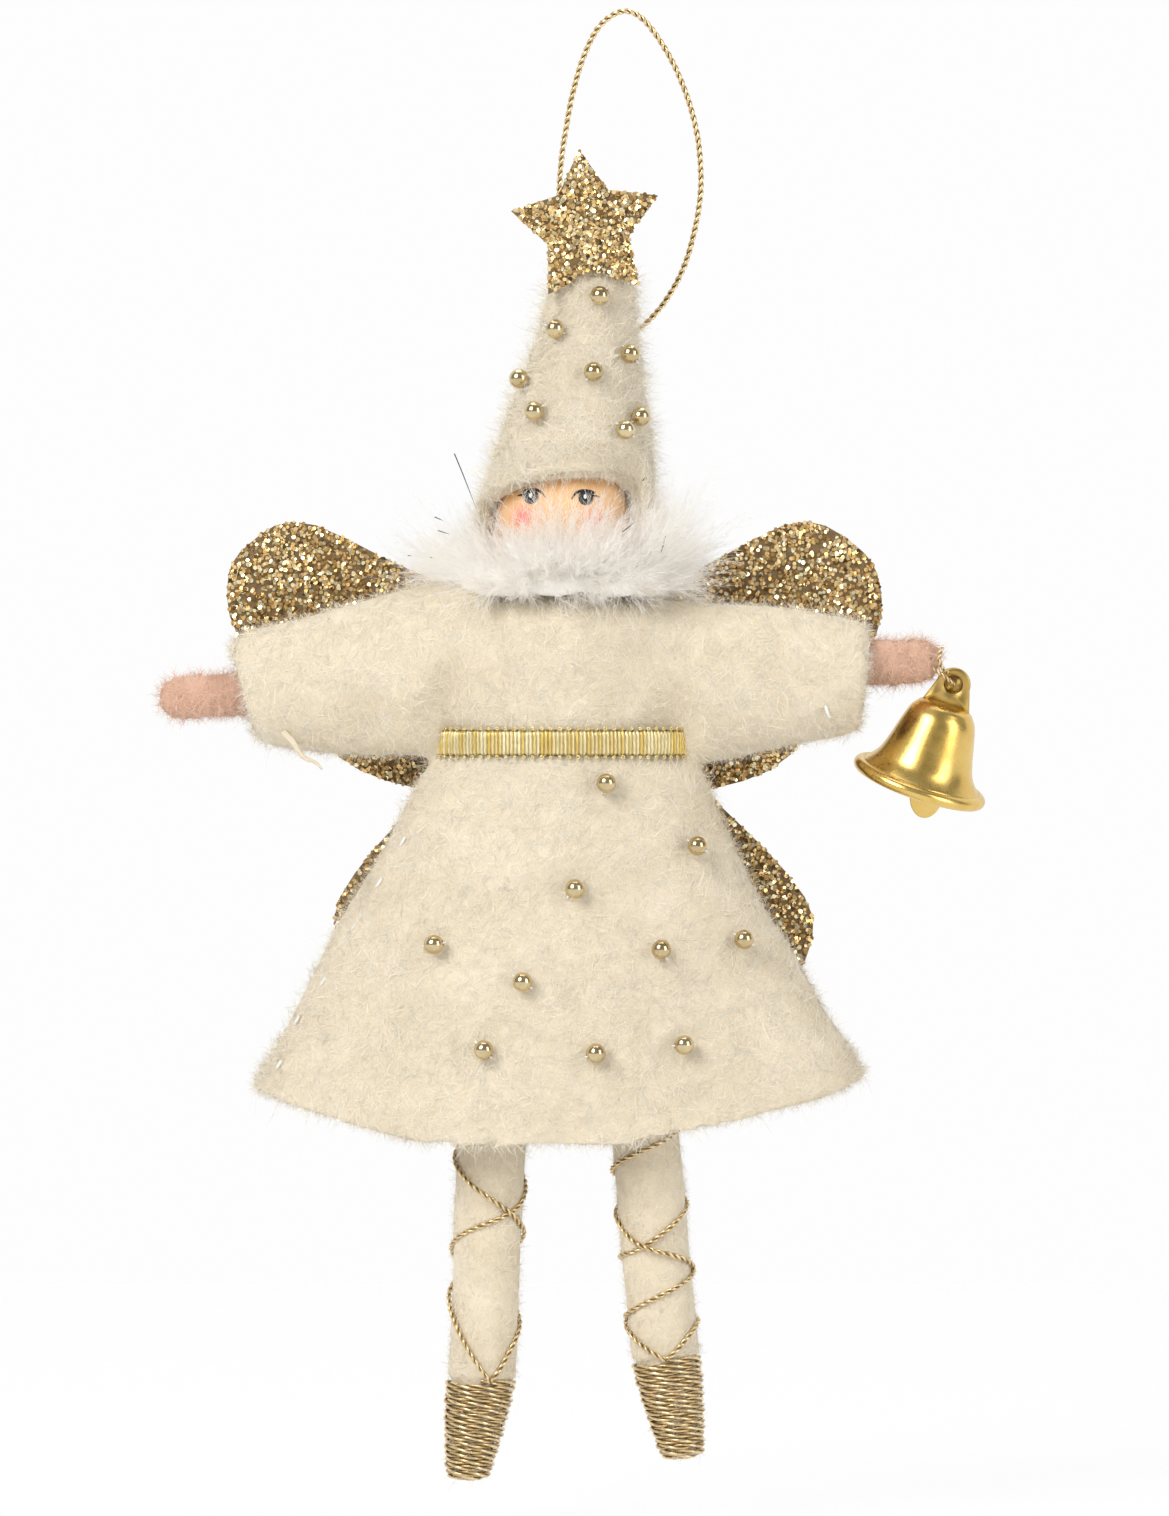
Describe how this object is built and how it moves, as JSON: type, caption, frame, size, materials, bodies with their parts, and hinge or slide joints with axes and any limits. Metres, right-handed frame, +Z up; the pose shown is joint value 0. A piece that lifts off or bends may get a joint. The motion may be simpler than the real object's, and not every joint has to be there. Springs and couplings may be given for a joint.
{
  "type": "pixie doll ornament",
  "caption": "hanging felt doll with a pointed beaded hat, feather collar, glitter card wings and star, ribbon belt, cord shoes and a brass hand bell on a cord loop",
  "frame": {"origin": "the inside of the hanger loop's crest, where the hook that carries the ornament bears", "axes": "+Z is up, the doll faces -Y, and +X is the viewer's right, the side of the hand that holds the bell"},
  "size_m": [0.1029, 0.03, 0.1832],
  "materials": {
    "cream_felt": "matte",
    "padding": "matte",
    "wood_ball": "satin",
    "white_feather": "matte",
    "glitter_card": "gloss",
    "gold_ribbon": "satin",
    "gold_cord": "satin",
    "gold_bead": "gloss",
    "pink_wool": "matte",
    "bell_brass": "polished",
    "steel_wire": "satin"
  },
  "bodies": {
    "doll": {"dress": "cream_felt", "belt": "gold_ribbon", "torso": "padding", "spine_wire": "steel_wire", "head": "wood_ball", "hat": "cream_felt", "feather_collar": "white_feather", "star": "glitter_card", "wings": "glitter_card", "hanger_knot": "gold_cord", "hanger_loop": "gold_cord", "hat_bead_1": "gold_bead", "hat_bead_2": "gold_bead", "hat_bead_3": "gold_bead", "hat_bead_4": "gold_bead", "hat_bead_5": "gold_bead", "hat_bead_6": "gold_bead", "hat_bead_7": "gold_bead", "hat_bead_8": "gold_bead", "dress_bead_1": "gold_bead", "dress_bead_2": "gold_bead", "dress_bead_3": "gold_bead", "dress_bead_4": "gold_bead", "dress_bead_5": "gold_bead", "dress_bead_6": "gold_bead", "dress_bead_7": "gold_bead", "dress_bead_8": "gold_bead", "dress_bead_9": "gold_bead", "dress_bead_10": "gold_bead"},
    "arm_left": {"arm_left": "pink_wool", "arm_wire_left": "steel_wire", "sleeve_left": "cream_felt"},
    "arm_right": {"arm_right": "pink_wool", "arm_wire_right": "steel_wire", "sleeve_right": "cream_felt", "bell_tie": "gold_cord"},
    "leg_left": {"leg_left": "cream_felt", "leg_wire_left": "steel_wire", "shoe_left": "gold_cord", "lace_left_a": "gold_cord", "lace_left_b": "gold_cord"},
    "leg_right": {"leg_right": "cream_felt", "leg_wire_right": "steel_wire", "shoe_right": "gold_cord", "lace_right_a": "gold_cord", "lace_right_b": "gold_cord"},
    "bell": {"bell_shell": "bell_brass", "bell_ear": "bell_brass"},
    "clapper": {"bell_clapper": "bell_brass"}
  },
  "joints": [
    {"name": "shoulder_left", "type": "hinge", "parent": "doll", "child": "arm_left", "pos_m": [-0.01675, 0, -0.0827], "axis": [0, 1, 0], "range_deg": [-15, 15], "deforming": ["sleeve_left"]},
    {"name": "shoulder_right", "type": "hinge", "parent": "doll", "child": "arm_right", "pos_m": [0.00125, 0, -0.0827], "axis": [0, 1, 0], "range_deg": [-15, 15], "deforming": ["sleeve_right"]},
    {"name": "hip_left", "type": "hinge", "parent": "doll", "child": "leg_left", "pos_m": [-0.01545, -0.0015, -0.1131], "axis": [1, 0, 0], "range_deg": [-7, 7]},
    {"name": "hip_right", "type": "hinge", "parent": "doll", "child": "leg_right", "pos_m": [-0.00005, -0.0015, -0.1131], "axis": [1, 0, 0], "range_deg": [-7, 7]},
    {"name": "bell_swing", "type": "hinge", "parent": "arm_right", "child": "bell", "pos_m": [0.04105, 0, -0.0838], "axis": [-0.0644, -0.9801, -0.188], "range_deg": [-3, 57]},
    {"name": "clapper_swing", "type": "hinge", "parent": "bell", "child": "clapper", "pos_m": [0.039, 0.00128, -0.08978], "axis": [0.9461, 0, -0.324], "range_deg": [-35, 35]}
  ]
}
